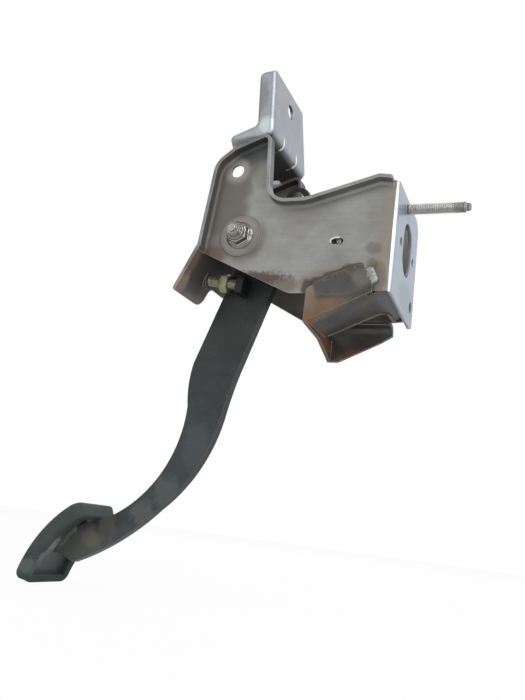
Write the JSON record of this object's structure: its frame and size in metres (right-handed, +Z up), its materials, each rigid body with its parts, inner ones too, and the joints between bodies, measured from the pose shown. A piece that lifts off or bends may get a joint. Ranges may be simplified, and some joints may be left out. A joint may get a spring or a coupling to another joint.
{
  "type": "clutch pedal",
  "caption": "Hanging pedal on a pressed steel mounting bracket, with a cable lever above the pivot, a curved arm, a rubber pad, a stop screw and a return spring.",
  "frame": {"origin": "centre between the two cable-end bolt holes, on the engine-side face of the flange", "axes": "+X through the flange towards the engine, +Y from the near side wall to the far side wall, +Z up"},
  "size_m": [0.3131, 0.1003, 0.4048],
  "materials": {
    "raw_steel": "worn bare pressed steel with brown stains",
    "weld_metal": "weld bead with scale",
    "zinc_steel": "bright zinc plate",
    "yellow_zinc": "yellow zinc plate, dulled",
    "spring_steel": "oiled dark spring wire",
    "bush_plastic": "natural bearing plastic",
    "arm_paint": "dusty black paint",
    "pad_rubber": "dusty black rubber"
  },
  "bodies": {
    "bracket": {"side_plate": "raw_steel", "far_plate": "raw_steel", "top_bracket": "raw_steel", "near_foot_weld": "weld_metal", "far_foot_weld": "weld_metal", "lower_gusset": "raw_steel", "gusset_weld": "weld_metal", "gusset_weld_end": "weld_metal", "far_plate_weld": "weld_metal", "flange_stud": "raw_steel", "stop_bolt": "yellow_zinc", "stop_lock_nut": "yellow_zinc", "pivot_bolt": "zinc_steel", "pivot_nut": "zinc_steel", "pivot_sleeve": "zinc_steel", "return_spring": "spring_steel"},
    "pedal": {"stop_lug": "arm_paint", "near_bush": "bush_plastic", "far_bush": "bush_plastic", "pivot_tube": "arm_paint", "near_tube_weld": "arm_paint", "far_tube_weld": "arm_paint", "pedal_arm": "arm_paint", "cable_pin": "zinc_steel", "pad_plate": "arm_paint", "pad_rubber": "pad_rubber", "near_pad_weld": "arm_paint", "far_pad_weld": "arm_paint"}
  },
  "joints": [
    {"name": "pedal_pivot", "type": "hinge", "parent": "bracket", "child": "pedal", "pos_m": [-0.116, 0, 0], "axis": [0, -1, 0], "range_deg": [0, 28], "stiffness_Nm_per_rad": 3, "springref_deg": -28.65, "deforming": ["return_spring"]}
  ]
}
